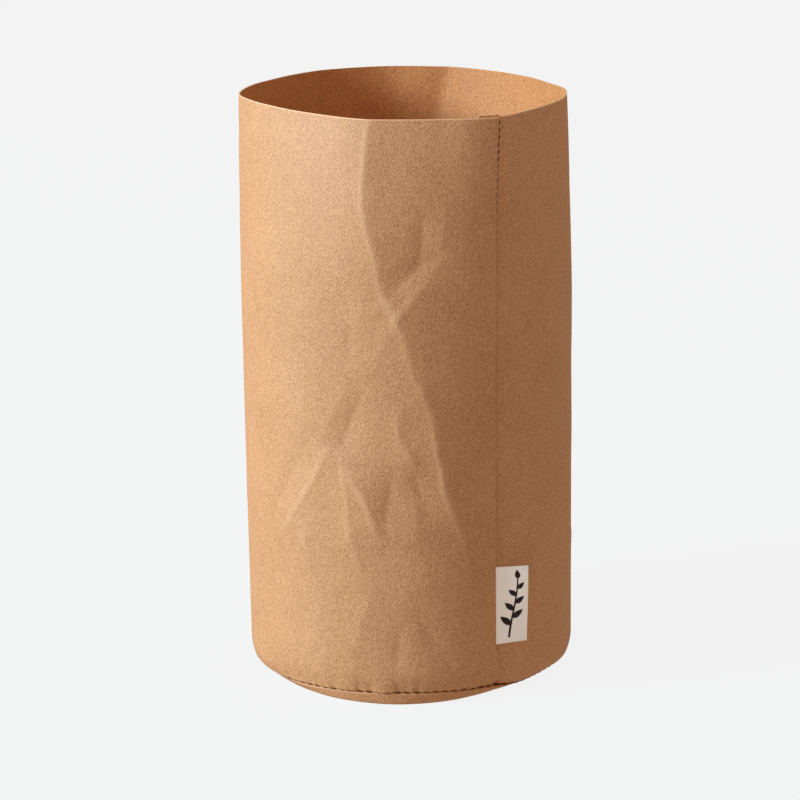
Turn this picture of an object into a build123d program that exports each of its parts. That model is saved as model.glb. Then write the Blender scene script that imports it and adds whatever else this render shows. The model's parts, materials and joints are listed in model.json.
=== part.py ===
from build123d import *
import math
import os

# Tall round grow bag sewn from washable kraft paper. Millimetres, +Z up.
# The origin is the centre of the base where it rests, and -Y is the front.
# Angles round the bag are in degrees from the front, growing towards +X.

# ---- driving dimensions ----
bag_diameter = 150.0  # outside, standing open
bag_height = 268.0
paper_thickness = 0.6
seam_allowance = 9.0  # paper beyond each line of stitches
side_seam_angle = 31.0
seam_blend_angle = 34.0  # how far round the lower panel takes to rise out of the seam
base_seam_height = 4.9  # underside of the wall's turned-in edge
base_flat_inset = 6.5  # from the outside of the bag to the edge of the flat of the base
base_fold_radius = 1.2  # fold at the top of the base's rim
thread_diameter = 0.3
stitch_pitch = 4.4
side_stitch_inset = 1.6  # stitch line to the fold of the side seam
base_stitch_inset = 2.2  # stitch line to the outside of the base seam
seam_gap = 0.1  # between two layers of paper sewn together
label_flap_width = 14.6
label_height = 37.0
label_bottom = 26.0
label_ply = 0.2
label_clearance = 0.05  # label to the paper it is sewn between
label_fold_gap = 0.04  # between the two plies of the label
label_rest_angle = 19.0  # free flap to the wall
label_hinge_out = 0.6  # hinge line outside the wall
label_hinge_gap = 0.35  # free flap to its hinge line

# ---- derived ----
outer_radius = bag_diameter / 2
inner_radius = outer_radius - paper_thickness
label_thickness = 2 * label_ply + label_fold_gap
fold_inner_radius = thread_diameter / 2  # the bobbin thread lies inside the fold
fold_outer_radius = fold_inner_radius + paper_thickness
fold_middle = outer_radius - fold_outer_radius
upper_outer = inner_radius - thread_diameter  # allowance turned back under the left edge
upper_inner = upper_outer - paper_thickness
lower_outer = upper_inner - label_thickness - 2 * label_clearance  # allowance of the right edge
lower_inner = lower_outer - paper_thickness
seam_middle = (upper_outer + lower_inner) / 2
blend_end_angle = side_seam_angle + seam_blend_angle
allowance_angle = side_seam_angle - math.degrees(seam_allowance / lower_outer)
fold_start_angle = side_seam_angle - math.degrees(fold_outer_radius / fold_middle)
wall_flange_top = base_seam_height + paper_thickness
base_flange_top = base_seam_height - seam_gap
base_flange_bottom = base_flange_top - paper_thickness
flange_inner_radius = outer_radius - seam_allowance
base_flat_radius = outer_radius - base_flat_inset
side_stitch_angle = side_seam_angle - math.degrees(side_stitch_inset / lower_outer)
base_stitch_radius = outer_radius - base_stitch_inset
base_seam_middle = (wall_flange_top + base_flange_bottom) / 2


def polar(radius, angle):
    """The point at this radius and this angle round the bag from its front."""
    turn = math.radians(angle)
    return (radius * math.sin(turn), -radius * math.cos(turn))


def arc_round(radius, start, end):
    """An arc about the bag's axis."""
    middle = polar(radius, (start + end) / 2)
    return ThreePointArc(polar(radius, start), middle, polar(radius, end))


def rising_arc(low_radius, high_radius):
    """The arc on which the right edge rises out of the seam to the round of the wall."""
    middle_angle = (side_seam_angle + blend_end_angle) / 2
    middle_radius = low_radius + 0.36 * (high_radius - low_radius)
    return ThreePointArc(
        polar(low_radius, side_seam_angle),
        polar(middle_radius, middle_angle),
        polar(high_radius, blend_end_angle),
    )


def fold_arc(fold_radius):
    """Half a circle that turns the left edge back under itself, with its apex at the seam."""
    centre = polar(fold_middle, fold_start_angle)
    out = polar(1, fold_start_angle)
    along = polar(1, fold_start_angle + 90)
    return ThreePointArc(
        (centre[0] + fold_radius * out[0], centre[1] + fold_radius * out[1]),
        (centre[0] + fold_radius * along[0], centre[1] + fold_radius * along[1]),
        (centre[0] - fold_radius * out[0], centre[1] - fold_radius * out[1]),
    )


def wall_section():
    """The rolled sheet seen from above, from its lower allowance round to its upper one."""
    fold_end_angle = fold_start_angle + 360  # the same fold, reached the long way round
    with BuildSketch() as section:
        with BuildLine():
            arc_round(lower_outer, allowance_angle, side_seam_angle)
            rising_arc(lower_outer, outer_radius)
            arc_round(outer_radius, blend_end_angle, fold_end_angle)
            fold_arc(fold_outer_radius)
            arc_round(upper_inner, fold_start_angle, allowance_angle)
            Line(polar(upper_inner, allowance_angle), polar(upper_outer, allowance_angle))
            arc_round(upper_outer, allowance_angle, fold_start_angle)
            fold_arc(fold_inner_radius)
            arc_round(inner_radius, fold_end_angle, blend_end_angle)
            rising_arc(lower_inner, inner_radius)
            arc_round(lower_inner, side_seam_angle, allowance_angle)
            Line(polar(lower_inner, allowance_angle), polar(lower_outer, allowance_angle))
        make_face()
    return section.sketch


def wall_panel():
    """The wall: a tube of the rolled sheet, with its lower edge turned in for the base seam."""
    tube = extrude(wall_section(), amount=bag_height - base_seam_height)
    with BuildSketch() as edge:
        with BuildLine():
            rising_arc(lower_outer, outer_radius)
            arc_round(outer_radius, blend_end_angle, fold_start_angle + 360)
            Line(polar(outer_radius, fold_start_angle), polar(lower_outer, side_seam_angle))
        make_face()
        Circle(flange_inner_radius, mode=Mode.SUBTRACT)
    flange = extrude(edge.sketch, amount=paper_thickness)
    return Pos(0, 0, base_seam_height) * (tube + flange)


def base_panel():
    """The base round: a flat disc whose rim curves up and folds in under the wall."""
    rim_radius = outer_radius - base_fold_radius
    fold_height = base_flange_top - base_fold_radius
    inner_fold = base_fold_radius - paper_thickness
    with BuildSketch(Plane.XZ) as profile:
        with BuildLine():
            Line((0, 0), (base_flat_radius, 0))
            TangentArc((base_flat_radius, 0), (outer_radius, fold_height), tangent=(1, 0))
            CenterArc((rim_radius, fold_height), base_fold_radius, 0, 90)
            Line((rim_radius, base_flange_top), (flange_inner_radius, base_flange_top))
            Line((flange_inner_radius, base_flange_top), (flange_inner_radius, base_flange_bottom))
            Line((flange_inner_radius, base_flange_bottom), (rim_radius, base_flange_bottom))
            CenterArc((rim_radius, fold_height), inner_fold, 0, 90)
            TangentArc(
                (base_flat_radius, paper_thickness),
                (rim_radius + inner_fold, fold_height),
                tangent=(1, 0),
            )
            Line((base_flat_radius, paper_thickness), (0, paper_thickness))
            Line((0, paper_thickness), (0, 0))
        make_face()
    return revolve(profile.sketch, axis=Axis.Z)


def side_thread(line_radius, knot_radius):
    """One thread of the side seam: a run up the seam, dipping to the knots at each stitch."""
    low = wall_flange_top + stitch_pitch / 2
    stitches = int((bag_height - low) / stitch_pitch - 0.5)
    run_length = stitches * stitch_pitch
    away_from_knots = math.copysign(thread_diameter / 2, line_radius - knot_radius)
    run = Pos(0, -(line_radius + away_from_knots), low + run_length / 2) * Box(
        thread_diameter, thread_diameter, run_length + thread_diameter
    )
    leg = Pos(0, -(line_radius + knot_radius) / 2, low) * Box(
        thread_diameter, abs(line_radius - knot_radius), thread_diameter
    )
    legs = [Pos(0, 0, i * stitch_pitch) * leg for i in range(stitches + 1)]
    return Rot(0, 0, side_stitch_angle) * run.fuse(*legs)


def base_thread(line_height):
    """One thread of the base seam: a ring on the paper, dipping to the knots at each stitch."""
    stitches = int(2 * math.pi * base_stitch_radius / stitch_pitch)
    away_from_knots = math.copysign(thread_diameter / 2, line_height - base_seam_middle)
    ring = Cylinder(base_stitch_radius + thread_diameter / 2, thread_diameter)
    ring -= Cylinder(base_stitch_radius - thread_diameter / 2, 2 * thread_diameter)
    ring = Pos(0, 0, line_height + away_from_knots) * ring
    leg = Pos(0, -base_stitch_radius, (line_height + base_seam_middle) / 2) * Box(
        thread_diameter, thread_diameter, abs(line_height - base_seam_middle)
    )
    legs = [Rot(0, 0, 360 * (i + 0.5) / stitches) * leg for i in range(stitches)]
    return ring.fuse(*legs)


def label_tail():
    """The folded label's ends, sewn in between the two allowances."""
    outside = upper_inner - label_clearance
    inside = outside - label_thickness
    with BuildSketch() as section:
        with BuildLine():
            arc_round(outside, allowance_angle, side_seam_angle)
            Line(polar(outside, side_seam_angle), polar(inside, side_seam_angle))
            arc_round(inside, side_seam_angle, allowance_angle)
            Line(polar(inside, allowance_angle), polar(outside, allowance_angle))
        make_face()
    return Pos(0, 0, label_bottom) * extrude(section.sketch, amount=label_height)


def label_flap():
    """The label's free flap: two plies joined by the fold along its outer edge."""
    half = label_thickness / 2
    start = label_hinge_gap
    end = start + label_flap_width
    with BuildSketch() as section:
        with BuildLine():
            Line((start, half), (start, -half))
            Line((start, -half), (end - half, -half))
            CenterArc((end - half, 0), half, -90, 180)
            Line((end - half, half), (start, half))
        make_face()
        with Locations(((start + end - half) / 2 - label_ply / 2, 0)):
            Rectangle(label_flap_width - half - label_ply, label_fold_gap, mode=Mode.SUBTRACT)
    flap = extrude(section.sketch, amount=label_height)
    hinge = polar(outer_radius + label_hinge_out, side_seam_angle)
    return Pos(*hinge, label_bottom) * Rot(0, 0, side_seam_angle - label_rest_angle) * flap


nodes = {
    "wall_panel": wall_panel(),
    "base_panel": base_panel(),
    "side_seam_needle_thread": side_thread(lower_inner, seam_middle),
    "side_seam_bobbin_thread": side_thread(upper_outer, seam_middle),
    "base_seam_needle_thread": base_thread(wall_flange_top),
    "base_seam_bobbin_thread": base_thread(base_flange_bottom),
    "label_tail": label_tail(),
    "label_flap": label_flap(),
}

os.makedirs("parts", exist_ok=True)
for name, shape in nodes.items():
    export_step(shape, f"parts/{name}.step")
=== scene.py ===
import json
import math

import bpy
import numpy as np
from bpy.props import FloatProperty, FloatVectorProperty, IntProperty, PointerProperty
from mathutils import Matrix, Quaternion, Vector


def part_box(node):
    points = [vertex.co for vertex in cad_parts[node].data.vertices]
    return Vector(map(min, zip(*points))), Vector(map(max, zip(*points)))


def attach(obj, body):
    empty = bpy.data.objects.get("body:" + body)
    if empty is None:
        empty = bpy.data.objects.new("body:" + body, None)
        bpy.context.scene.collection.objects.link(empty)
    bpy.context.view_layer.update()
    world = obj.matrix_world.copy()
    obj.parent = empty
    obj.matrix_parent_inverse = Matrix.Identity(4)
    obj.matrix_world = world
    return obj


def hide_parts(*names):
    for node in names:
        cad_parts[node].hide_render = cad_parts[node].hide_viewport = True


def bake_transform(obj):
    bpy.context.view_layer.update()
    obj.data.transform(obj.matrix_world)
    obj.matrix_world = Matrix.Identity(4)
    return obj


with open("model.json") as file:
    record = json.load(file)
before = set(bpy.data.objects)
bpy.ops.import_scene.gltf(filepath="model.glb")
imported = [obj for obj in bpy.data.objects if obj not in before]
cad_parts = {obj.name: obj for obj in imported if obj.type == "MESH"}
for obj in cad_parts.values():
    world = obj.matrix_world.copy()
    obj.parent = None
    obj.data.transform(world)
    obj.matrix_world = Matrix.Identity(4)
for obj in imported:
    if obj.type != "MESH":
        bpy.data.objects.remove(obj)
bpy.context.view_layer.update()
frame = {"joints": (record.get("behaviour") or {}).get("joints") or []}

bl_info = {
    "name": "Kraft paper grow bag",
    "version": (1, 0, 0),
    "blender": (4, 5, 0),
    "location": "3D View > Sidebar > Grow Bag",
    "description": "Makes a creased, sewn kraft paper grow bag on its measured frame",
    "category": "Add Mesh",
}

# Lengths are in millimetres until a mesh is written, which is in metres.
# A turn is the angle in degrees round the wall from the side seam: first the right side, then
# the back, the left side, and the front up to the seam again.
MM = 0.001
FULL_TURN = 360.0

WALL_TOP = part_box("wall_panel")[1][2] / MM
BAG_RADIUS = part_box("base_panel")[1][0] / MM
HINGE = Vector(frame["joints"][0]["pos_m"]) / MM
SEAM_ANGLE = math.degrees(math.atan2(HINGE.x, -HINGE.y))
LABEL_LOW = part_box("label_flap")[0][2] / MM
LABEL_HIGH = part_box("label_flap")[1][2] / MM
PER_DEGREE = math.radians(1) * BAG_RADIUS  # mm round the wall
FRAYED_AND_HIGHLIT = 0.45  # height of the pale line along the rim: the paper's frayed fibres, and partly a painted highlight along the rim
RIM_REACH = 58  # how far down the wall its rim's outline is felt
RAISED_RIM = 1.0  # how far the right edge and the allowances stand above the left edge
RAISED_FADE = 0.7  # degrees from the seam in which the right edge comes down to the rim
TRIMMED = 0.82  # share of the side seam's allowance that is left on
SEAM_SHOWS = 42  # how far down from the rim the side seam shows its stitches
STITCH_INSET = 1.6  # the side seam's edge to the holes of its stitches
STITCH_GAPES = 0.75  # how far past the edge, and how deep, the thread that shows lies
STITCH_POINTS = 12  # points along a thread to each stitch
SMALL_CREASES = 150
CREASE_WEAR_AND_SHADE = 1.3  # width of the line along a crease: a lighter crest, partly wear and partly painted highlight, and a painted-shade hollow
LABEL_PLY = 0.2
LABEL_FACE = 0.22  # each face of the folded label to its middle
LABEL_TAIL = 7  # how far the label runs inside the seam
LAYER_GAP = 0.05  # between the wall and the base where they are sewn together

# The wall's outline seen from above, as (turn, radius): its open rim, and its rounder foot.
RIM_OUTLINE = [
    (0, 79.4), (7, 77.0), (16, 74.6), (28, 73.6), (42, 74.1), (58, 73.6), (79, 69.3), (99, 69.2),
    (119, 71.0), (137, 73.0), (157, 75.5), (177, 75.5), (194, 74.2), (206, 73.4), (219, 74.2),
    (235, 74.4), (253, 69.2), (270, 65.0), (285, 64.1), (297, 64.9), (308, 67.3), (317, 69.0),
    (329, 70.0), (341, 72.2), (352, 76.6), (360, 79.6),
]
FOOT_OUTLINE = [
    (0, 75.2), (14, 74.9), (25, 75.6), (36, 76.2), (60, 76.4), (100, 75.4), (150, 76.0),
    (200, 75.4), (240, 76.2), (290, 75.0), (306, 74.3), (320, 74.5), (335, 75.2), (348, 75.5),
    (360, 75.2),
]
# The base seam round the bag, as (turn, height, radius), and the radius of the round on the floor.
BASE_SEAM = [
    (0, 5.0, 72.9), (5, 4.0, 72.7), (11, 3.0, 72.4), (19, 2.6, 72.3), (29, 2.5, 73.0), (37, 2.4, 74.2),
    (46, 2.4, 75.0), (58, 2.8, 75.2), (89, 4.6, 73.6), (149, 5.3, 72.8), (194, 4.6, 73.4),
    (231, 3.0, 75.0), (247, 2.2, 74.9), (258, 2.1, 74.1), (268, 2.6, 73.6), (284, 4.0, 73.4),
    (301, 5.2, 72.9), (319, 6.1, 72.7), (334, 6.2, 72.6), (344, 5.9, 72.6), (360, 5.0, 72.6),
]
BASE_ROUND = [
    (0, 66.6), (7, 65.4), (19, 65.0), (30, 65.5), (46, 67.0), (89, 69.0), (149, 69.5), (194, 69.5),
    (231, 69.5), (247, 69.0), (258, 68.8), (269, 69.6), (284, 70.0), (301, 70.8), (319, 70.8),
    (334, 69.8), (344, 68.8), (360, 66.6),
]
# How far the side seam wanders from its upright line, as (height, degrees).
SIDE_SEAM = [(0, 0), (5, 0), (10, 1.1), (20, 1.1), (25, 0), (268, 0)]
WANDER_REACH = 22  # degrees from the seam in which its wander dies away

# The wall's creases. Each is how far it spreads to its left and to its right, in mm, and its
# points from the top down, as (angle from the front, height, lift). A hollow's lift is negative.
FRONT_CREASES = [
    # the long fold: its upper run
    (22, 8, (-12.5, 268, 1.4), (-13.5, 256, 1.9), (-14.5, 241, 2.2), (-14.5, 229, 2.3),
        (-13, 220, 2.2), (-11, 211, 2.2), (-9.5, 203, 2.0), (-9, 196, 1.5), (-7.5, 189, 0.8),
        (-4.5, 184, 0.2)),
    # its middle, over the swelling
    (10, 9, (-9.5, 197, 0.3), (-6, 188, 1.2), (-3, 179, 1.5), (-1, 172, 1.2), (0, 165, 0.7),
        (1, 159, 0.2)),
    # its lower run
    (9, 6, (-0.5, 170, 0.2), (0.5, 163, 0.6), (2, 154, 0.8), (5, 148, 1.0), (8, 137, 1.2),
        (9, 127, 1.1), (10.5, 114, 0.6), (12, 103, 0)),
    # and foot
    (6, 9, (8.5, 131, 0), (9.5, 121, 0.9), (11, 112, 1.5), (12, 102, 1.7), (15, 90, 1.5),
        (18, 79, 0.9), (20, 66, 0.4), (21, 55, 0)),
    # the upper dent, right edge
    (9, 6, (5, 234, 0), (6, 222, -0.9), (5.5, 212, -1.2), (4, 204, -0.6), (0.5, 199, 0)),
    (6, 8, (13, 237, 0), (13, 225, 0.5), (12, 214, 0.4), (10, 207, 0)),
    # the short cross fold under it
    (6, 4, (15.5, 213, 0), (10.5, 209, -0.5), (3.5, 203, -0.9), (-2, 197, -1.0), (-6.5, 191, -0.3)),
    (5, 9, (12, 204, 0), (6.5, 197, 0.6), (2, 190, 0.9), (-2, 184, 0.8), (-5, 178, 0.2)),
    # left of the swelling
    (14, 9, (-20.5, 198, 0), (-23.5, 184, -0.5), (-22, 169, -0.6), (-18.5, 159, -0.2)),
    # the hollow to the left, and its edge
    (8, 10, (-11, 159, 0), (-15.5, 148, -0.6), (-19, 139, -1.3), (-21.5, 130, -1.5),
        (-23.5, 123, -0.9), (-24.5, 117, 0)),
    (10, 7, (-18, 156, 0), (-23.5, 146, 0.4), (-27, 138, 0.6), (-30.5, 128, 0.5), (-32.5, 121, 0)),
    # thin crest beside the lower run
    (5, 4, (-1, 144, 0), (-3.5, 138, 0.6), (-3.5, 132, 0.8), (-3, 126, 0.9), (0, 120, 0.9),
        (1.5, 115, 0.6), (3, 108, 0)),
    (4, 5, (-0.5, 116, 0), (2, 109, -0.8), (3.5, 103, -0.9), (6.5, 94, -0.5), (8, 86, 0)),
    # fan to the lower left
    (7, 5, (-31, 132, 0), (-38.5, 119, -0.6), (-44.5, 107, -0.9), (-51.5, 93, -0.9),
        (-59.5, 77, -0.2)),
    (6, 7, (-27, 126, 0), (-30, 118, 0.8), (-34.5, 106, 1.1), (-40.5, 94, 1.1), (-47, 82, 0.9),
        (-56, 67, 0.1)),
    (4, 5, (-47, 115, 0), (-54.5, 99, 0.3), (-58, 86, 0.5), (-56, 76, 0)),
    # fan to the lower right
    (8, 5, (-24.5, 121, 0.1), (-24, 115, 0.8), (-22.5, 103, 0.9), (-21.5, 92, 0.9), (-21.5, 81, 0.9),
        (-19, 72, 0.8), (-17, 62, 0.4), (-16, 54, 0)),
    (3, 3, (-25, 119, 0), (-25, 112, -0.6), (-25, 105, 0)),
    (7, 8, (-21.5, 117, 0.1), (-21, 109, 1.0), (-18.5, 104, 1.5), (-16, 99, 1.7), (-14, 93, 1.6),
        (-12.5, 86, 1.2), (-11, 80, 0.6), (-9.5, 73, 0)),
    (8, 7, (-5, 123, 0), (-6, 111, -0.6), (-7.5, 99, -1.0), (-8.5, 90, -0.9), (-7.5, 79, 0)),
    (6, 8, (0.5, 109, 0), (1.5, 97, 0.5), (2, 85, 0.5), (1, 75, 0)),
    # soft rolls near the foot
    (6, 5, (-12.5, 60, 0), (-15, 49, 0.5), (-18, 39, 0.6), (-20.5, 29, 0.5), (-22.5, 20, 0)),
    (7, 4, (-2.5, 44, 0), (-4, 33, -0.5), (-5, 23, -0.7), (-6, 16, -0.3)),
    (8, 10, (0.5, 57, 0), (3, 46, -0.6), (6.5, 34, -0.9), (10.5, 24, -0.5)),
    (8, 6, (-44, 87, 0), (-40.5, 77, 0.5), (-38, 69, 0.5), (-36, 59, 0)),
]
BACK_CREASES = [
    # the upright folds left by storing the bag flat
    (16, 16, (211, 268, 1.2), (211, 220, 1.4), (212, 160, 1.3), (211, 100, 1.1), (210, 40, 0.3)),
    (14, 8, (163.5, 268, 2.2), (168, 248, 2.4), (173, 225, 2.0), (178, 190, 1.6), (183, 150, 1.2),
        (181, 118, 0)),
    # a dent at the back, and the creases that fan out of it
    (8, 9, (140, 218, 0), (150, 196, -1.2), (158, 178, -1.5), (161, 160, 0)),
    (9, 6, (148, 222, 0), (162, 203, 1.0), (172, 184, 0)),
    (7, 8, (151, 158, 0), (142, 124, 1.3), (134, 88, 0)),
    (6, 6, (155, 154, 0), (149, 118, -1.0), (145, 84, 0)),
    (8, 6, (165, 150, 0), (166, 116, 1.2), (160, 80, 0)),
    # long shallow creases on the right side and the left side
    (12, 9, (62, 240, 0), (72, 196, -0.7), (75, 150, -0.6), (69, 104, 0)),
    (9, 11, (84, 226, 0), (90, 176, 0.7), (92, 130, 0.5), (88, 92, 0)),
    (8, 8, (58, 96, 0), (68, 66, 0.6), (82, 38, 0)),
    (10, 12, (107, 206, 0), (116, 160, 0.9), (118, 98, 0)),
    (8, 9, (108, 82, 0), (121, 54, -0.9), (132, 30, 0)),
    (11, 8, (230, 246, 0), (240, 204, -0.8), (238, 168, -0.8), (229, 124, 0)),
    (9, 9, (249, 222, 0), (256, 172, 0.8), (252, 120, 0)),
    (8, 10, (222, 110, 0), (232, 74, 1.0), (246, 44, 0)),
    (7, 8, (263, 116, 0), (257, 80, -0.6), (263, 46, 0)),
    (9, 7, (193, 134, 0), (198, 90, -1.0), (191, 48, 0)),
]

# The folded label's direction from the seam, in degrees from the right, at its foot and top.
LABEL_TURN_LOW = 17.0
LABEL_TURN_HIGH = 6.0


# ---- sizes and colours ----


class BagSizes(bpy.types.PropertyGroup):
    paper_thickness: FloatProperty(
        name="Paper", description="Thickness of the paper in mm", default=0.6, min=0.2, max=2
    )
    allowance: FloatProperty(
        name="Allowance", description="Paper turned in at each seam, in mm", default=9, min=4, max=15
    )
    stitches: IntProperty(
        name="Base stitches", description="Stitches round the base seam", default=104, min=60, max=160
    )
    stitch_pitch: FloatProperty(
        name="Stitch", description="Length of a side seam stitch in mm", default=3.2, min=2, max=8
    )
    thread: FloatProperty(
        name="Thread", description="Thickness of the side seam's thread in mm", default=0.46,
        min=0.1, max=1,
    )
    base_thread: FloatProperty(
        name="Base thread", description="Thickness of the base seam's thread in mm", default=0.42,
        min=0.1, max=1,
    )
    fold_depth: FloatProperty(
        name="Fold depth", description="Depth of the large creases", default=1.0, min=0, max=2,
        subtype="FACTOR",
    )
    crumple_depth: FloatProperty(
        name="Crumple", description="Depth of the small handling creases", default=1.0, min=0, max=3,
        subtype="FACTOR",
    )
    gape: FloatProperty(
        name="Gape", description="How far the base seam opens between stitches, in mm",
        default=0.5, min=0, max=1,
    )
    label_width: FloatProperty(
        name="Label width", description="Width of the folded label in mm", default=15.0, min=5, max=30
    )


class BagColours(bpy.types.PropertyGroup):
    paper: FloatVectorProperty(
        name="Paper", description="Colour of the kraft paper", subtype="COLOR",
        default=(0.745, 0.425, 0.198), min=0, max=1,
    )
    # Also paints shade into the hollows of creases.
    paper_dark: FloatVectorProperty(
        name="Paper, dark", description="Dark mottling of the paper", subtype="COLOR",
        default=(0.465, 0.232, 0.086), min=0, max=1,
    )
    # Also paints the crests of creases lighter, partly wear and partly a painted highlight.
    paper_light: FloatVectorProperty(
        name="Paper, light", description="Light fibres and worn creases", subtype="COLOR",
        default=(0.82, 0.53, 0.285), min=0, max=1,
    )
    # The inner face's tint, warmer and redder than the outer face, is painted warm light bounced round
    # inside the bag.
    inside: FloatVectorProperty(
        name="Inside", description="Tint of the paper's inner face",
        default=(1.08, 0.92, 0.70), min=0, max=1.3,
    )
    cut_edge: FloatVectorProperty(
        name="Cut edge", description="The paper's cut edge", subtype="COLOR",
        default=(0.95, 0.68, 0.42), min=0, max=1,
    )
    thread: FloatVectorProperty(
        name="Thread", description="Sewing thread", subtype="COLOR",
        default=(0.13, 0.044, 0.009), min=0, max=1,
    )
    label: FloatVectorProperty(
        name="Label", description="The woven label's ground", subtype="COLOR",
        default=(0.92, 0.95, 0.95), min=0, max=1,
    )
    sprig: FloatVectorProperty(
        name="Sprig", description="The leaf sprig woven into the label", subtype="COLOR",
        default=(0.012, 0.009, 0.007), min=0, max=1,
    )
    floor: FloatVectorProperty(
        name="Floor", description="The pale studio floor", subtype="COLOR",
        default=(0.045, 0.048, 0.05), min=0, max=1,
    )


class StudioLight(bpy.types.PropertyGroup):
    key: FloatProperty(
        name="Key light", description="Power of the large lamp on the left", default=77, min=0,
        unit="POWER",
    )
    key_colour: FloatVectorProperty(
        name="Key colour", description="Colour of the large lamp, a little cool",
        subtype="COLOR", default=(0.76, 0.875, 1.0), min=0, max=1,
    )
    room: FloatVectorProperty(
        name="Room", description="Light of the warm room", subtype="COLOR",
        default=(0.453, 0.330, 0.270), min=0, max=1,
    )
    floor_glow: FloatProperty(
        name="Floor glow", description="Light of the pale floor, lit from below", default=0.862, min=0
    )


# ---- shapes ----


def smooth(share):
    """Rises gently from 0 to 1 as share does."""
    share = np.clip(share, 0, 1)
    return share * share * (3 - 2 * share)


def through(points, at):
    """A smooth curve through (place, value) points, with no overshoot, read at these places."""
    spot, value = np.array(points, float).T
    rise = np.diff(value) / np.diff(spot)
    before, after = rise[:-1], rise[1:]
    level = before * after <= 0  # at a peak or a hollow
    between = np.where(level, 0, 2 * before * after / np.where(level, 1, before + after))
    slope = np.concatenate([rise[:1], between, rise[-1:]])
    i = np.clip(np.searchsorted(spot, at, side="right") - 1, 0, len(spot) - 2)
    step = spot[i + 1] - spot[i]
    t = np.clip((at - spot[i]) / step, 0, 1)
    return (
        (2 * t**3 - 3 * t**2 + 1) * value[i]
        + (t**3 - 2 * t**2 + t) * step * slope[i]
        + (3 * t**2 - 2 * t**3) * value[i + 1]
        + (t**3 - t**2) * step * slope[i + 1]
    )


def small_creases():
    """The many faint creases of handling, all over the wall."""
    draw = np.random.RandomState(11)
    creases = []
    for _ in range(SMALL_CREASES):
        x, z = draw.uniform(6, FULL_TURN - 6), draw.uniform(24, WALL_TOP)
        heading, length = draw.normal(0, 0.6), draw.uniform(10, 46)
        bend, lift = draw.uniform(-0.35, 0.35), draw.choice([-1, 1]) * draw.uniform(0.12, 0.4)
        points = [(x, z, 0.0)]
        for turned, rise in ((heading, lift), (heading + bend, 0.0)):
            x += math.sin(turned) * length / 2 / PER_DEGREE
            z -= math.cos(turned) * length / 2
            points.append((x, z, rise))
        creases.append((draw.uniform(2.5, 7), draw.uniform(2.5, 7), points))
    return creases


def wall_creases():
    """Every crease of the wall, large and small, at its set depth."""
    sizes = bpy.context.scene.bag_sizes
    large = [
        (left, right, [((a - SEAM_ANGLE) % FULL_TURN, z, d * sizes.fold_depth) for a, z, d in line])
        for left, right, *line in FRONT_CREASES + BACK_CREASES
    ]
    small = [
        (left, right, [(x, z, d * sizes.crumple_depth) for x, z, d in line])
        for left, right, line in small_creases()
    ]
    return large + small


def relief(turn, height):
    """How far the creases lift the wall here, and a narrow signed line along each crease, which the
    paper paints as a lighter crest (partly wear, partly painted highlight) and a painted-shade hollow.
    """
    turn, height = np.broadcast_arrays(np.asarray(turn, float), np.asarray(height, float))
    across = turn * PER_DEGREE
    lift, sharp = np.zeros(across.shape), np.zeros(across.shape)
    for left, right, line in wall_creases():
        points = np.array(line) * (PER_DEGREE, 1, 1)
        reach = 6 * max(left, right)  # where the crease has died away
        near = (across > points[:, 0].min() - reach) & (across < points[:, 0].max() + reach)
        near &= (height > points[:, 1].min() - reach) & (height < points[:, 1].max() + reach)
        if not near.any():
            continue
        x, z = across[near], height[near]
        nearest, depth = np.full(x.shape, 1e9), np.zeros(x.shape)
        on_right = np.zeros(x.shape, bool)
        for a, b in zip(points, points[1:]):
            run, fall = b[0] - a[0], b[1] - a[1]
            t = np.clip(((x - a[0]) * run + (z - a[1]) * fall) / (run * run + fall * fall), 0, 1)
            off_x, off_z = x - a[0] - t * run, z - a[1] - t * fall
            distance = np.hypot(off_x, off_z)
            closer = distance < nearest
            nearest[closer] = distance[closer]
            depth[closer] = (a[2] + (b[2] - a[2]) * t)[closer]
            on_right[closer] = (off_z * run - off_x * fall > 0)[closer]
        lift[near] += depth * np.exp(-nearest / np.where(on_right, right, left))
        # a narrow line along the crease: a crest is painted lighter, partly wear and partly painted
        # highlight; a hollow gets painted shade
        sharp[near] += depth * np.exp(-nearest / CREASE_WEAR_AND_SHADE)
    # a crease is shallower at the cut rim, and ends before the two seams
    top = 0.9 + 0.1 * smooth((WALL_TOP - height) / 16)
    foot = smooth((height - 4) / 20)
    seam = smooth(np.minimum(across, FULL_TURN * PER_DEGREE - across) / 12)
    return lift * top * foot * seam, np.clip(sharp, -1, 1)


def smooth_outline(turn, height):
    """The wall's radius before its creases."""
    near_rim = np.exp(-(WALL_TOP - height) / RIM_REACH)
    rim, foot = through(RIM_OUTLINE, turn), through(FOOT_OUTLINE, turn)
    return foot + (rim - foot) * near_rim


def place(turn, radius, height):
    """Points in the frame, from turns, radii and heights."""
    turn, radius, height = np.broadcast_arrays(np.asarray(turn, float), radius, height)
    from_seam = np.abs((turn + FULL_TURN / 2) % FULL_TURN - FULL_TURN / 2)
    wander = through(SIDE_SEAM, height) * np.exp(-from_seam / WANDER_REACH)
    angle = np.radians(turn + SEAM_ANGLE + wander)
    return np.stack([radius * np.sin(angle), -radius * np.cos(angle), height], axis=-1)


# ---- the base seam ----

FOLD_ROUND = 0.8  # radius of the paper's folds at the base seam
GATHER_REACH = 4.5  # how far the gathers reach above the base seam
UNDERCUT = 0.5  # how far the base's rim stands in from the wall's edge
LOW_UNDERCUT = 1.6  # and how far where the seam is pressed down
SEAM_HIDES = 3.2  # a seam lower than this is rolled under, and its stitches don't show
# The height at which the wall starts to roll in to the base seam, by its turn.
ROLL_START = [
    (0, 12), (20, 9.5), (60, 9.5), (90, 15), (225, 15), (248, 9.5), (262, 9.5), (292, 20),
    (338, 20), (360, 12),
]


def seam_line(turn):
    """The height of the base seam."""
    return through([(at, height) for at, height, _ in BASE_SEAM], turn)


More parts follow.
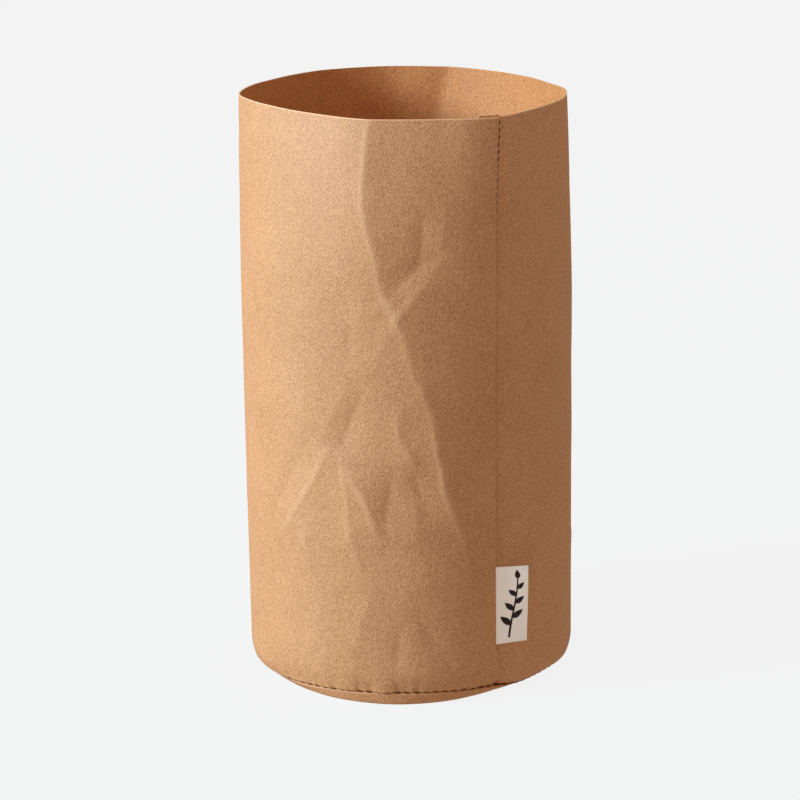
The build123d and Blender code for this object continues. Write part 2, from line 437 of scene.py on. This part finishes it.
def seam_radius(turn):
    """The outside of the base seam."""
    return through([(at, radius) for at, _, radius in BASE_SEAM], turn)


def pressed(turn):
    """From 0 where the base seam stands clear to 1 where it is rolled under."""
    return smooth(SEAM_HIDES + 0.8 - seam_line(turn))


def rim_radius(turn):
    """The outside of the base's rim, under the wall's edge."""
    return seam_radius(turn) - UNDERCUT - (LOW_UNDERCUT - UNDERCUT) * pressed(turn)


def gape(turn):
    """From 0 at each stitch of the base seam to 1 half way to the next."""
    stitches = bpy.context.scene.bag_sizes.stitches
    return np.abs(np.sin(np.pi * turn / FULL_TURN * stitches)) ** 1.4 * (1 - 0.8 * pressed(turn))


def puckers(turn):
    """Small upright gathers above the base seam, in mm, stronger in some places."""
    draw = np.random.RandomState(21)
    close = np.arange(0, FULL_TURN + 2.4, 2.4)
    small = through(list(zip(close, draw.uniform(-1, 1, len(close)))), turn)
    wide = np.arange(0, FULL_TURN + 11, 11)
    strong = np.clip(through(list(zip(wide, draw.uniform(-0.4, 1.2, len(wide)))), turn), 0, 1)
    return small * (0.3 + 0.7 * strong) * (1 - 0.8 * pressed(turn))


# ---- meshes ----


def own(piece, body, *nodes, slot):
    """Puts the piece in the scene, on its body, in place of these nodes."""
    bpy.context.scene.collection.objects.link(piece)
    if body:
        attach(piece, body)
    if nodes:
        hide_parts(*nodes)


def paper_piece(name, grid, thickness, materials, wraps=False, crease=None, under_step=1):
    """A sheet of this thickness under a grid of points on its face, with flat cut edges. It is
    closed round if it wraps. Its underside has one point to every under_step of the face."""
    columns, rows = grid.shape[:2]
    if wraps:
        along = np.roll(grid, -1, 0) - np.roll(grid, 1, 0)
    else:
        along = np.gradient(grid, axis=0)
    normal = np.cross(along, np.gradient(grid, axis=1))
    normal /= np.maximum(np.linalg.norm(normal, axis=2, keepdims=True), 1e-9)
    under = (grid - thickness * normal)[::under_step, ::under_step]
    under_columns, under_rows = under.shape[:2]
    last_column = columns if wraps else columns - 1

    def face_point(column, row):
        return (column % columns) * rows + row

    def under_point(column, row):
        place_in_row = (column // under_step) % under_columns
        return columns * rows + place_in_row * under_rows + row // under_step

    def cells(point, step):
        for c in range(0, last_column, step):
            for r in range(0, rows - 1, step):
                corners = (c, r), (c + step, r), (c + step, r + step), (c, r + step)
                yield tuple(point(*corner) for corner in corners)

    def edge(cells_along):
        """Faces that join the two sides, from lists of (column, row) along the edge."""
        for corners in cells_along:
            over = [face_point(*corner) for corner in corners]
            yield (*over, under_point(*corners[-1]), under_point(*corners[0]))

    face_cells = list(cells(face_point, 1))
    under_cells = [tuple(reversed(cell)) for cell in cells(under_point, under_step)]
    steps = range(under_step + 1)
    across = range(0, last_column, under_step)
    down = range(0, rows - 1, under_step)
    cut = list(edge([[(c + under_step - k, 0) for k in steps] for c in across]))
    cut += edge([[(c + k, rows - 1) for k in steps] for c in across])
    if not wraps:
        cut += edge([[(0, r + k) for k in steps] for r in down])
        cut += edge([[(columns - 1, r + under_step - k) for k in steps] for r in down])
    points = np.concatenate([grid.reshape(-1, 3), under.reshape(-1, 3)]) * MM
    crease = np.zeros(grid.shape[:2]) if crease is None else crease
    creases = np.r_[crease.ravel(), -crease[::under_step, ::under_step].ravel()]
    inside = len(face_cells) if len(materials) > 2 else None
    piece = write_mesh(name, points, face_cells + under_cells, cut, creases, materials, inside)
    # the cut edge meets the underside at a crisp corner
    crisp = np.zeros(len(piece.data.edges), bool)
    for polygon in piece.data.polygons[len(face_cells) + len(under_cells):]:
        for loop in polygon.loop_indices:
            line = piece.data.edges[piece.data.loops[loop].edge_index]
            crisp[line.index] = min(line.vertices) >= columns * rows
    piece.data.edges.foreach_set("use_edge_sharp", crisp)
    return piece


def write_mesh(name, points, faces, flat_faces=(), crease=None, materials=(), inside=None):
    """A mesh object. Its flat faces are cut edges, in the second material. Its smooth faces from
    number inside on are the inner face, in the third."""
    mesh = bpy.data.meshes.new(name)
    mesh.from_pydata(points.tolist(), [], faces + list(flat_faces))
    count = len(faces)
    mesh.polygons.foreach_set("use_smooth", [i < count for i in range(len(mesh.polygons))])
    for material in materials:
        mesh.materials.append(material)
    if len(materials) > 1:
        first = count if inside is None else inside
        looks = [0] * first + [2] * (count - first) + [1] * len(flat_faces)
        mesh.polygons.foreach_set("material_index", looks)
    if crease is not None:
        mesh.attributes.new("crease", "FLOAT", "POINT").data.foreach_set(
            "value", np.asarray(crease, np.float32)
        )
    mesh.validate()
    return bpy.data.objects.new(name, mesh)


def thread_piece(name, points, thickness, closed, material):
    """A round thread along these points."""
    curve = bpy.data.curves.new(name, "CURVE")
    curve.dimensions = "3D"
    curve.bevel_depth = thickness / 2 * MM
    curve.bevel_resolution = 1
    spline = curve.splines.new("POLY")
    spline.points.add(len(points) - 1)
    spline.points.foreach_set("co", np.c_[np.asarray(points) * MM, np.ones(len(points))].ravel())
    spline.use_cyclic_u = closed
    curve.materials.append(material)
    return bpy.data.objects.new(name, curve)


# ---- materials ----


def new_material(name):
    material = bpy.data.materials.new(name)
    material.use_nodes = True
    tree = material.node_tree
    return material, tree, tree.nodes["Principled BSDF"]


def add(tree, kind, **inputs):
    """A node with these inputs: a link, or a plain value."""
    node = tree.nodes.new(kind)
    for key, value in inputs.items():
        socket = node.inputs[int(key[1:]) if key in ("i0", "i1") else key]
        if isinstance(value, bpy.types.NodeSocket):
            tree.links.new(value, socket)
        else:
            socket.default_value = value
    return node


def on_piece(tree, stretch=(1, 1, 1)):
    """Places on the piece, stretched along each axis."""
    coordinates = tree.nodes.new("ShaderNodeTexCoord").outputs["Object"]
    return add(tree, "ShaderNodeMapping", Vector=coordinates, Scale=stretch).outputs[0]


def noise(tree, at, size, detail=3.0, rough=0.5):
    """Soft noise whose blotches are about this size in mm."""
    scale = 1 / (size * MM)
    node = add(tree, "ShaderNodeTexNoise", Vector=at, Scale=scale, Detail=detail, Roughness=rough)
    return node.outputs["Fac"]


def bands(tree, at, size, distortion, axis="X"):
    """Soft bands across an axis."""
    scale = 1 / (size * MM)
    node = add(tree, "ShaderNodeTexWave", Vector=at, Scale=scale, Distortion=distortion)
    node.bands_direction = axis
    return node.outputs["Fac"]


def spread(tree, value, low, high, to_low=0.0, to_high=1.0):
    """The value moved from one range to another."""
    ends = {"From Min": low, "From Max": high, "To Min": to_low, "To Max": to_high}
    return add(tree, "ShaderNodeMapRange", Value=value, **ends).outputs["Result"]


def mixed(tree, share, first, second):
    """Colour between first and second."""
    node = tree.nodes.new("ShaderNodeMix")
    node.data_type = "RGBA"
    for index, value in ((0, share), (6, first), (7, second)):
        if isinstance(value, bpy.types.NodeSocket):
            tree.links.new(value, node.inputs[index])
        else:
            node.inputs[index].default_value = (*value, 1) if index else value
    return node.outputs[2]


def summed(tree, *terms):
    """The sum of (value, weight) terms."""
    total = None
    for value, weight in terms:
        product = add(tree, "ShaderNodeMath", i0=value, i1=weight)
        product.operation = "MULTIPLY"
        term = product.outputs[0]
        total = term if total is None else add(tree, "ShaderNodeMath", i0=total, i1=term).outputs[0]
    return total


def coat(tree, shader, colour, height, strength, depth):
    """Gives the shader this colour, and a bump this many mm deep."""
    tree.links.new(colour, shader.inputs["Base Color"])
    bump = add(tree, "ShaderNodeBump", Strength=strength, Distance=depth * MM, Height=height)
    tree.links.new(bump.outputs[0], shader.inputs["Normal"])


def kraft_paper(colours, name="washable kraft paper", tint=(1, 1, 1)):
    """Washable kraft paper: mottled, fibrous, with a fine pebble, lighter crease crests that are
    partly wear and partly painted highlight, and painted shade in the crease hollows.
    """
    material, tree, shader = new_material(name)
    dark, middle, light = (
        tuple(c * t for c, t in zip(colour, tint))
        for colour in (colours.paper_dark, colours.paper, colours.paper_light)
    )
    at = on_piece(tree)
    grain = noise(tree, at, 0.95, 2.0, 0.6)
    fleck = noise(tree, at, 0.5, 1.0)
    mottle = noise(tree, at, 3.4, 3.0, 0.6)
    cloud = noise(tree, at, 38, 2.0)
    fibre = noise(tree, on_piece(tree, (1, 1, 0.22)), 0.8, 2.0, 0.65)
    crease = tree.nodes.new("ShaderNodeAttribute")
    crease.attribute_name = "crease"
    sharp = crease.outputs["Fac"]
    blotch = summed(tree, (fleck, 0.46), (grain, 0.36), (mottle, 0.09), (cloud, 0.09))
    ground = mixed(tree, spread(tree, blotch, 0.40, 0.60), dark, middle)
    flecked = mixed(tree, spread(tree, fibre, 0.56, 0.78, 0.0, 0.55), ground, light)
    # crests of creases are painted lighter, partly as wear and partly as a painted highlight
    worn_and_highlit = mixed(tree, spread(tree, sharp, 0.1, 1.0, 0.0, 0.4), flecked, light)
    # hollows of creases are darkened with painted shade
    painted_hollow_shade = mixed(tree, spread(tree, sharp, -0.1, -1.0, 0.0, 0.22), worn_and_highlit, dark)
    rough = spread(tree, summed(tree, (grain, 0.6), (mottle, 0.4)), 0.3, 0.7, 0.58, 0.72)
    tree.links.new(rough, shader.inputs["Roughness"])
    pebble = summed(tree, (grain, 1.0), (fibre, 0.3), (mottle, 0.5))
    coat(tree, shader, painted_hollow_shade, pebble, 0.7, 0.3)
    shader.inputs["Specular IOR Level"].default_value = 0.8
    return material


def cut_edge(colours):
    """The paper's pale fibrous cut edge."""
    material, tree, shader = new_material("cut paper edge")
    fibre = noise(tree, on_piece(tree), 0.5, 3.0, 0.6)
    colour = mixed(tree, spread(tree, fibre, 0.35, 0.65), colours.paper_light, colours.cut_edge)
    coat(tree, shader, colour, fibre, 0.5, 0.1)
    shader.inputs["Roughness"].default_value = 0.9
    return material


def sewing_thread(colours):
    """Twisted matt thread."""
    material, tree, shader = new_material("brown sewing thread")
    twist = bands(tree, on_piece(tree, (1, 1, 0.7)), 1.4, 1.5)
    light = tuple(min(1.0, 1.9 * c) for c in colours.thread)
    coat(tree, shader, mixed(tree, twist, colours.thread, light), twist, 0.6, 0.05)
    shader.inputs["Roughness"].default_value = 0.85
    shader.inputs["Specular IOR Level"].default_value = 0.1
    return material


def woven(name, colour, painted_glow=0.0):
    """Fine woven tape: upright warp and level weft, and a faint painted glow: it gives off light of
    its own, though it is no lamp.
    """
    material, tree, shader = new_material(name)
    at = on_piece(tree)
    warp, weft = bands(tree, at, 1.5, 0.4), bands(tree, at, 1.5, 0.4, "Z")
    weave = summed(tree, (warp, 0.5), (weft, 0.5))
    soil = noise(tree, at, 5, 3.0)
    shaded = tuple(0.8 * c for c in colour)
    share = spread(tree, summed(tree, (weave, 0.6), (soil, 0.4)), 0.25, 0.6)
    coat(tree, shader, mixed(tree, share, shaded, colour), weave, 0.5, 0.06)
    shader.inputs["Roughness"].default_value = 0.8
    shader.inputs["Sheen Weight"].default_value = 0.15
    # a painted glow: the tape gives off a little warm light of its own
    shader.inputs["Emission Color"].default_value = (1, 1, 0.88, 1)
    shader.inputs["Emission Strength"].default_value = painted_glow
    return material


# ---- the pieces ----


class WallShape:
    """The face of the wall sheet, from one cut edge to the other."""

    def __init__(self):
        self.sizes = bpy.context.scene.bag_sizes
        self.fold_round = self.sizes.paper_thickness + 0.15  # the side seam's fold
        self.fold_turn = math.degrees(self.fold_round / BAG_RADIUS)
        self.left_edge = FULL_TURN - self.fold_turn  # the turn at which the left edge folds under
        self.upper_inset = 2 * self.fold_round  # the face of the allowance under the left edge

    def lower_inset(self, height):
        """The face of the right edge's allowance, which stands off further behind the label."""
        middle, half = (LABEL_LOW + LABEL_HIGH) / 2, (LABEL_HIGH - LABEL_LOW) / 2
        behind_label = smooth((half + 5 - np.abs(height - middle)) / 4)
        return self.upper_inset + 0.1 + 0.45 * behind_label

    def columns(self):
        """Columns across the sheet, as (turn, part). In the fold at the left edge the part is how
        far round the fold the column is, in radians."""
        stitch = FULL_TURN / self.sizes.stitches
        allowance = math.degrees(TRIMMED * self.sizes.allowance / BAG_RADIUS)
        end = self.left_edge
        lower = [(t, "lower") for t in np.linspace(-allowance, 0, 6, endpoint=False)]
        # five columns to a stitch, but three at the back
        back_start, back_end = 17 * stitch, 72 * stitch
        around = list(np.arange(0, back_start - stitch / 10, stitch / 5))
        around += list(np.arange(back_start, back_end - stitch / 10, stitch / 3))
        around += list(np.arange(back_end, end - stitch / 8, stitch / 5))
        panel = [(t, "panel") for t in around] + [(end, "panel")]
        fold = [(end, round_fold) for round_fold in np.linspace(0, math.pi, 8)[1:-1]]
        count = 7 + (len(lower + panel + fold) % 2)  # an even number of cells across in all
        upper = [(t, "upper") for t in np.linspace(end, end - allowance, count)]
        return lower + panel + fold + upper

    def inset(self, part, turn, height):
        """How far the face of this part lies under the wall's outline."""
        if part == "lower":
            return self.lower_inset(height)
        if part == "panel":  # it rises out of the seam, more slowly beside the label
            slow = 5 + 3 * smooth((LABEL_HIGH + 16 - height) / 10)
            return self.lower_inset(height) * np.exp(-turn * PER_DEGREE / slow)
        if part == "upper":
            return self.upper_inset + 0 * height
        return self.fold_round * (1 - math.cos(part)) + 0 * height

    def grid(self):
        """The sheet's face as a grid of points, and the signed line along its creases at each, which
        the paper paints as lighter crests and painted-shade hollows.
        """
        roll = np.linspace(0, 1, 7)[1:]  # the wall's foot, rolled in towards the base seam
        bend = np.linspace(0, math.pi / 2, 6)[1:]  # the fold at the base seam
        turned_in = np.linspace(0, self.sizes.allowance - FOLD_ROUND, 5)[1:]
        points, creases = [], []
        for turn, part in self.columns():
            at = turn % FULL_TURN if part == "lower" else min(turn, self.left_edge)
            seam, open_up = seam_line(at), self.sizes.gape * gape(at)
            start = float(through(ROLL_START, at))
            tall = np.r_[WALL_TOP, np.linspace(WALL_TOP - FRAYED_AND_HIGHLIT, start, 151)]
            roll_in = smooth_outline(at, start) - seam_radius(at)
            turned = roll_in + FOLD_ROUND
            inset = np.concatenate([
                0 * tall, roll_in * roll**2, turned - FOLD_ROUND * np.cos(bend), turned + turned_in,
            ])
            raised = RAISED_RIM
            if part not in ("lower", "upper"):
                raised *= math.exp(-((at / RAISED_FADE) ** 2))
            fold_height = open_up * np.cos(bend) ** 0.5 + FOLD_ROUND * (1 - np.sin(bend))
            height = np.concatenate([
                tall + raised * smooth((tall - WALL_TOP + 20) / 20),
                start - roll * (start - seam - FOLD_ROUND) + open_up * roll**4,
                seam + fold_height,
                seam + 0 * turned_in,
            ])
            inward = np.concatenate([0 * tall, 0.45 * roll, bend, 0 * turned_in + math.pi / 2])
            depth = self.inset(part, at, height)
            gather = puckers(at) * np.exp(-np.maximum(height - seam, 0) / GATHER_REACH)
            if not isinstance(part, str):
                at += self.fold_turn * math.sin(part)
            lift, sharp = relief(at, height)
            radius = smooth_outline(at, height) + lift + gather - inset - depth * np.cos(inward)
            points.append(place(at, radius, height + depth * np.sin(inward)))
            creases.append(sharp)
        return np.array(points), np.array(creases)


class BAG_OT_wall(bpy.types.Operator):
    """Makes the wall: one creased sheet, sewn to itself at the side seam and turned in at its foot"""

    bl_idname = "bag.wall"
    bl_label = "Wall panel"

    def execute(self, context):
        sizes, colours = context.scene.bag_sizes, context.scene.bag_colours
        grid, crease = WallShape().grid()
        # the inner face is a warmer copy of the paper: painted bounce light inside the bag
        inner_face = kraft_paper(colours, "kraft paper, inner face", colours.inside)
        paper = [kraft_paper(colours), cut_edge(colours), inner_face]
        piece = paper_piece(
            "wall_sheet", grid[::-1], sizes.paper_thickness, paper, crease=crease[::-1], under_step=2
        )
        cells_down = grid.shape[1] - 1
        for cell in range(0, (grid.shape[0] - 1) * cells_down, cells_down):
            piece.data.polygons[cell].material_index = 1  # the pale line along the rim: frayed fibres, and partly a painted highlight
        own(piece, "bag", "wall_panel", slot="kraft_paper")
        return {"FINISHED"}


class BAG_OT_base(bpy.types.Operator):
    """Makes the base: a round of paper with its rim curved up and turned in under the wall"""

    bl_idname = "bag.base"
    bl_label = "Base panel"

    def execute(self, context):
        sizes, colours = context.scene.bag_sizes, context.scene.bag_colours
        turn = np.arange(0, FULL_TURN, FULL_TURN / sizes.stitches / 4)
        rim, seam, opened = rim_radius(turn), seam_line(turn), gape(turn)
        ground = through(BASE_ROUND, turn)
        draw = np.random.RandomState(5)
        rows = []
        # the round on the floor, with a slight wave, from its centre out
        for share in np.concatenate([np.linspace(0.0006, 0.92, 16), np.linspace(0.94, 1, 4)]):
            wave = 0.3 * (1 - share**4) * draw.uniform(0.2, 1)
            lift = wave * (1 + np.sin(np.radians(3 * turn) + 7 * share)) / 2
            rows.append((ground * share, lift))
        # its rim, the fold at the seam and the edge turned in
        shoulder = seam - FOLD_ROUND
        for share in np.linspace(0, 1, 9)[1:]:
            rows.append((ground + (rim - ground) * share, shoulder * share**1.35))
        for angle in np.linspace(0, math.pi / 2, 6)[1:]:
            drop = LAYER_GAP + 0.35 * sizes.gape * opened * math.cos(angle)
            out = rim - FOLD_ROUND * (1 - math.cos(angle))
            rows.append((out, shoulder + FOLD_ROUND * math.sin(angle) - drop))
        for step in np.linspace(0, sizes.allowance - FOLD_ROUND, 5)[1:]:
            rows.append((rim - FOLD_ROUND - step, seam - LAYER_GAP))
        grid = np.stack([place(turn, radius, height) for radius, height in rows], axis=1)
        paper = [kraft_paper(colours), cut_edge(colours)]
        piece = paper_piece("base_sheet", grid, sizes.paper_thickness, paper, wraps=True)
        own(piece, "bag", "base_panel", slot="kraft_paper")
        return {"FINISHED"}


def along_stitches(count):
    """For each point of a thread, its place from one hole to the next, and its rise there."""
    phase = (np.arange(count) % STITCH_POINTS) / STITCH_POINTS
    return phase, np.abs(np.sin(np.pi * phase)) ** 0.5


def side_thread(side):
    """Points of the side seam's needle or bobbin thread, from the rim down."""
    sizes, wall = bpy.context.scene.bag_sizes, WallShape()
    low, high = seam_line(0) + 3, WALL_TOP - 1.0
    count = int((high - low) / sizes.stitch_pitch) * STITCH_POINTS + 1
    height = high - np.arange(count) * sizes.stitch_pitch / STITCH_POINTS
    phase, lifted = along_stitches(count)
    turn = np.full(count, -STITCH_INSET / PER_DEGREE)
    middle = wall.upper_inset - 0.3  # where the two threads meet
    face = wall.fold_round - 0.1 * sizes.thread
    if side == "needle":
        face = wall.lower_inset(height) + sizes.paper_thickness + 0.1 * sizes.thread
    depth = middle + (face - middle) * (0.55 + 0.45 * lifted)
    if side == "bobbin":  # the seam is pulled open near the rim, and shows it as a row of dots
        showing = (np.abs(phase - 0.5) < 0.3) & (height > WALL_TOP - SEAM_SHOWS)
        sunk = 0.6 * smooth((WALL_TOP - 12 - height) / 14)
        turn[showing] = STITCH_GAPES / PER_DEGREE
        depth[showing] = (STITCH_GAPES + sunk)[showing]
    outline = smooth_outline(turn % FULL_TURN, height) + relief(turn % FULL_TURN, height)[0]
    return place(turn, outline - depth, height)


def base_thread(side):
    """Points of the base seam's needle or bobbin thread, round the bag."""
    sizes = bpy.context.scene.bag_sizes
    turn = np.linspace(0, FULL_TURN, sizes.stitches * STITCH_POINTS, endpoint=False)
    phase, lifted = along_stitches(len(turn))
    stand = 1 if side == "needle" else -1
    rise = stand * (sizes.paper_thickness + 0.4 * sizes.thread) * (0.4 + 0.6 * lifted)
    radius = seam_radius(turn) - FOLD_ROUND - 0.9
    if side == "needle":  # it shows between the wall and the base, bowed out between its holes
        showing = (np.abs(phase - 0.5) < 0.33) & (seam_line(turn) > SEAM_HIDES)
        bow = 1 - (np.abs(phase - 0.5) / 0.5) ** 2
        radius = np.where(showing, seam_radius(turn) - UNDERCUT - 0.35 + 0.45 * bow, radius)
        rise = np.where(showing, LAYER_GAP, rise)
    return place(turn, radius, seam_line(turn) + rise)


class BAG_OT_threads(bpy.types.Operator):
    """Makes the four threads: a needle thread and a bobbin thread in each seam"""

    bl_idname = "bag.threads"
    bl_label = "Seam threads"

    def execute(self, context):
        sizes = context.scene.bag_sizes
        material = sewing_thread(context.scene.bag_colours)
        seams = ("side", side_thread, sizes.thread), ("base", base_thread, sizes.base_thread)
        for seam, points, thickness in seams:
            for side in ("needle", "bobbin"):
                name = f"{seam}_seam_{side}"
                closed = seam == "base"
                piece = thread_piece(f"{name}_line", points(side), thickness, closed, material)
                own(piece, "bag", f"{name}_thread", slot="thread")
        return {"FINISHED"}


def label_direction(height):
    """Which way the label points from the seam, as (along, out) unit vectors in plan."""
    share = smooth((height - LABEL_LOW) / (LABEL_HIGH - LABEL_LOW))
    angle = np.radians(LABEL_TURN_LOW + (LABEL_TURN_HIGH - LABEL_TURN_LOW) * share)
    along = np.stack([np.cos(angle), np.sin(angle)], -1)
    out = np.stack([np.sin(angle), -np.cos(angle)], -1)
    return along, out


def label_point(run, height, off):
    """A point of the label: run mm from the seam, off mm in front of its middle."""
    start = place(0, smooth_outline(0, height) - 0.9, height)[..., :2]
    along, out = label_direction(height)
    up = (height - LABEL_LOW) / (LABEL_HIGH - LABEL_LOW)
    curl = smooth(run / 15) * (0.5 * np.sin(np.pi * up) - 0.25)
    xy = start + along * run[..., None] + out * (off + curl)[..., None]
    return np.concatenate([xy, height[..., None]], axis=-1)


class BAG_OT_label(bpy.types.Operator):
    """Makes the folded woven label, caught in the side seam"""

    bl_idname = "bag.label"
    bl_label = "Label"

    def execute(self, context):
        sizes, colours = context.scene.bag_sizes, context.scene.bag_colours
        # from the tail's end, out along one face, round the fold and back along the other
        tail = np.linspace(LABEL_TAIL, 0, 6, endpoint=False)
        run = np.linspace(0.2, sizes.label_width - LABEL_FACE, 15)
        bend = np.linspace(-math.pi / 2, math.pi / 2, 6)[1:-1]
        fold = run[-1] + LABEL_FACE * np.cos(bend)
        runs = np.concatenate([-tail, run, fold, run[::-1], -tail[::-1]])
        faces = [0 * tail - 1, 0 * run - 1, np.sin(bend), 0 * run + 1, 0 * tail + 1]
        offs = LABEL_FACE * np.concatenate(faces)
        height = np.tile(np.linspace(LABEL_LOW, LABEL_HIGH, 38), (len(runs), 1))
        across = np.tile(runs[:, None], (1, height.shape[1]))
        off = np.tile(offs[:, None], (1, height.shape[1]))
        grid = label_point(across, height, off)
        wall = WallShape()
        inset = (wall.upper_inset + wall.lower_inset(height)) / 2
        outline = smooth_outline(FULL_TURN + 0 * height, height)
        tucked = place(across * math.degrees(1 / BAG_RADIUS), outline - inset + off, height)
        grid[across < 0] = tucked[across < 0]
        # the label's tape is given a faint painted glow
        tape = [woven("off-white woven tape", tuple(colours.label), 0.15)] * 2
        piece = paper_piece("woven_label", grid[::-1], LABEL_PLY, tape)
        own(piece, None, "label_tail", "label_flap", slot="label")
        along = Vector((*label_direction(np.array((LABEL_LOW + LABEL_HIGH) / 2))[0], 0))
        start, end = (HINGE - 0.6 * along) * MM, (HINGE + 1.0 * along) * MM
        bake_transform(piece)
        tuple(start)
        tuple(end)
        return {"FINISHED"}


def leaf_sprig(width):
    """A leafy sprig on a label this wide: its (run, height) points, and its faces."""
    points, faces = [], []

    def strip(left, right):
        """A band between two edges."""
        first = len(points)
        for pair in zip(left, right):
            points.extend(pair)
        for k in range(first, first + 2 * len(left) - 2, 2):
            faces.append((k, k + 1, k + 3, k + 2))

    def leaf(base, heading, length, breadth):
        along = np.array([math.cos(heading), math.sin(heading)])
        side = np.array([-along[1], along[0]])
        t = np.linspace(0, 1, 9)
        half = breadth / 2 * np.sin(np.pi * t**0.8) + 0.04
        middle = base + np.outer(t * length, along) + np.outer(0.12 * length * t**2, side)
        strip(middle + side * half[:, None], middle - side * half[:, None])

    low, high = LABEL_LOW + 2.6, LABEL_HIGH - 6.0
    t = np.linspace(0, 1, 25)
    stem = np.stack([0.54 * width + 2.0 * np.sin(2.6 * t - 1.1), low + (high - low) * t], -1)
    tangent = np.gradient(stem, axis=0)
    tangent /= np.linalg.norm(tangent, axis=1, keepdims=True)
    side = np.stack([-tangent[:, 1], tangent[:, 0]], -1)
    half = (0.52 - 0.22 * t)[:, None]
    strip(stem + side * half, stem - side * half)
    headings = np.arctan2(tangent[:, 1], tangent[:, 0])
    # leaves on alternate sides, each smaller than the last, and one at the tip
    for i, k in enumerate(range(5, 21, 3)):
        leaf(stem[k], headings[k] + (0.85, -0.85)[i % 2], 6.8 - 0.5 * i, 3.0 - 0.17 * i)
    leaf(stem[-1], headings[-1], 4.4, 2.4)
    return np.array(points), faces


class BAG_OT_sprig(bpy.types.Operator):
    """Makes the leaf sprig woven into both faces of the label"""

    bl_idname = "bag.sprig"
    bl_label = "Label sprig"

    def execute(self, context):
        flat, faces = leaf_sprig(context.scene.bag_sizes.label_width)
        material = woven("dark woven sprig", tuple(context.scene.bag_colours.sprig))
        for name, way in (("label_sprig_front", 1), ("label_sprig_back", -1)):
            off = np.full(len(flat), way * (LABEL_FACE + 0.04))
            points = label_point(flat[:, 0], flat[:, 1], off) * MM
            turned = [face[::way] for face in faces]
            piece = write_mesh(name, points, turned, materials=[material])
            thick = piece.modifiers.new("woven depth", "SOLIDIFY")
            thick.thickness = 0.05 * MM
            thick.offset = 0
            own(piece, "label", slot="label")
        return {"FINISHED"}


def pale_floor(colour, glow):
    """A wide pale floor, which neither lights the bag nor shows in its gloss."""
    reach = 60.0  # in metres
    mesh = bpy.data.meshes.new("floor")
    corners = [(-reach, -reach, 0), (reach, -reach, 0), (reach, reach, 0), (-reach, reach, 0)]
    mesh.from_pydata(corners, [], [(0, 1, 2, 3)])
    material, _, shader = new_material("pale floor")
    shader.inputs["Base Color"].default_value = (*colour, 1)
    shader.inputs["Roughness"].default_value = 0.9
    shader.inputs["Specular IOR Level"].default_value = 0.1
    shader.inputs["Emission Color"].default_value = (0.99, 1, 1, 1)
    shader.inputs["Emission Strength"].default_value = glow
    mesh.materials.append(material)
    floor = bpy.data.objects.new("floor", mesh)
    floor.visible_diffuse = False
    floor.visible_glossy = False
    return floor


def key_lamp(colour, power):
    """The large lamp, at the left and a little above the bag."""
    data = bpy.data.lights.new("key lamp", "AREA")
    data.energy = power
    data.color = colour
    data.size = 0.9
    lamp = bpy.data.objects.new("key lamp", data)
    middle = Vector((0, 0, WALL_TOP * MM / 2))
    angle, rise, distance = math.radians(-74), math.radians(22), 2.5
    out = distance * math.cos(rise)
    offset = (math.sin(angle) * out, -math.cos(angle) * out, distance * math.sin(rise))
    lamp.location = middle + Vector(offset)
    lamp.rotation_euler = (middle - lamp.location).to_track_quat("-Z", "Y").to_euler()
    return lamp


def front_camera():
    """The camera, in front of the bag and a little above it."""
    data = bpy.data.cameras.new("camera")
    data.lens = 115.6
    data.shift_x = -0.0095
    data.clip_start = 0.05
    data.clip_end = 30
    camera = bpy.data.objects.new("camera", data)
    camera.location = (0, -1.15, 0.4613)
    tilt, lean = math.radians(90 - 16.38), math.radians(-0.86)
    camera.rotation_mode = "QUATERNION"
    camera.rotation_quaternion = Quaternion((1, 0, 0), tilt) @ Quaternion((0, 0, 1), lean)
    return camera


class BAG_OT_stage(bpy.types.Operator):
    """Makes the pale floor, the warm room, the large lamp on the left and the camera"""

    bl_idname = "bag.stage"
    bl_label = "Stage"

    def execute(self, context):
        scene = context.scene
        light = scene.studio_light
        floor = pale_floor(scene.bag_colours.floor, light.floor_glow)
        scene.collection.objects.link(floor)
        scene.collection.objects.link(key_lamp(light.key_colour, light.key))
        scene.camera = front_camera()
        scene.collection.objects.link(scene.camera)
        scene.world = bpy.data.worlds.new("warm room")
        scene.world.use_nodes = True
        scene.world.node_tree.nodes["Background"].inputs["Color"].default_value = (*light.room, 1)
        scene.view_settings.view_transform = "Standard"
        return {"FINISHED"}


class BAG_PT_panel(bpy.types.Panel):
    """The grow bag's pieces, sizes, colours and light"""

    bl_idname = "BAG_PT_panel"
    bl_label = "Grow Bag"
    bl_space_type = "VIEW_3D"
    bl_region_type = "UI"
    bl_category = "Grow Bag"

    def draw(self, context):
        scene = context.scene
        for settings in (scene.bag_sizes, scene.bag_colours, scene.studio_light):
            box = self.layout.box()
            for name in settings.__annotations__:
                box.prop(settings, name)
        for operator in OPERATORS:
            self.layout.operator(operator.bl_idname)


OPERATORS = (BAG_OT_wall, BAG_OT_base, BAG_OT_threads, BAG_OT_label, BAG_OT_sprig, BAG_OT_stage)
CLASSES = (BagSizes, BagColours, StudioLight, *OPERATORS, BAG_PT_panel)


def register():
    for kind in CLASSES:
        bpy.utils.register_class(kind)
    bpy.types.Scene.bag_sizes = PointerProperty(type=BagSizes)
    bpy.types.Scene.bag_colours = PointerProperty(type=BagColours)
    bpy.types.Scene.studio_light = PointerProperty(type=StudioLight)


def unregister():
    for name in ("bag_sizes", "bag_colours", "studio_light"):
        delattr(bpy.types.Scene, name)
    for kind in reversed(CLASSES):
        bpy.utils.unregister_class(kind)


def main():
    register()
    bpy.ops.bag.wall()
    bpy.ops.bag.base()
    bpy.ops.bag.threads()
    bpy.ops.bag.label()
    bpy.ops.bag.sprig()
    bpy.ops.bag.stage()


if __name__ == "__main__":
    main()
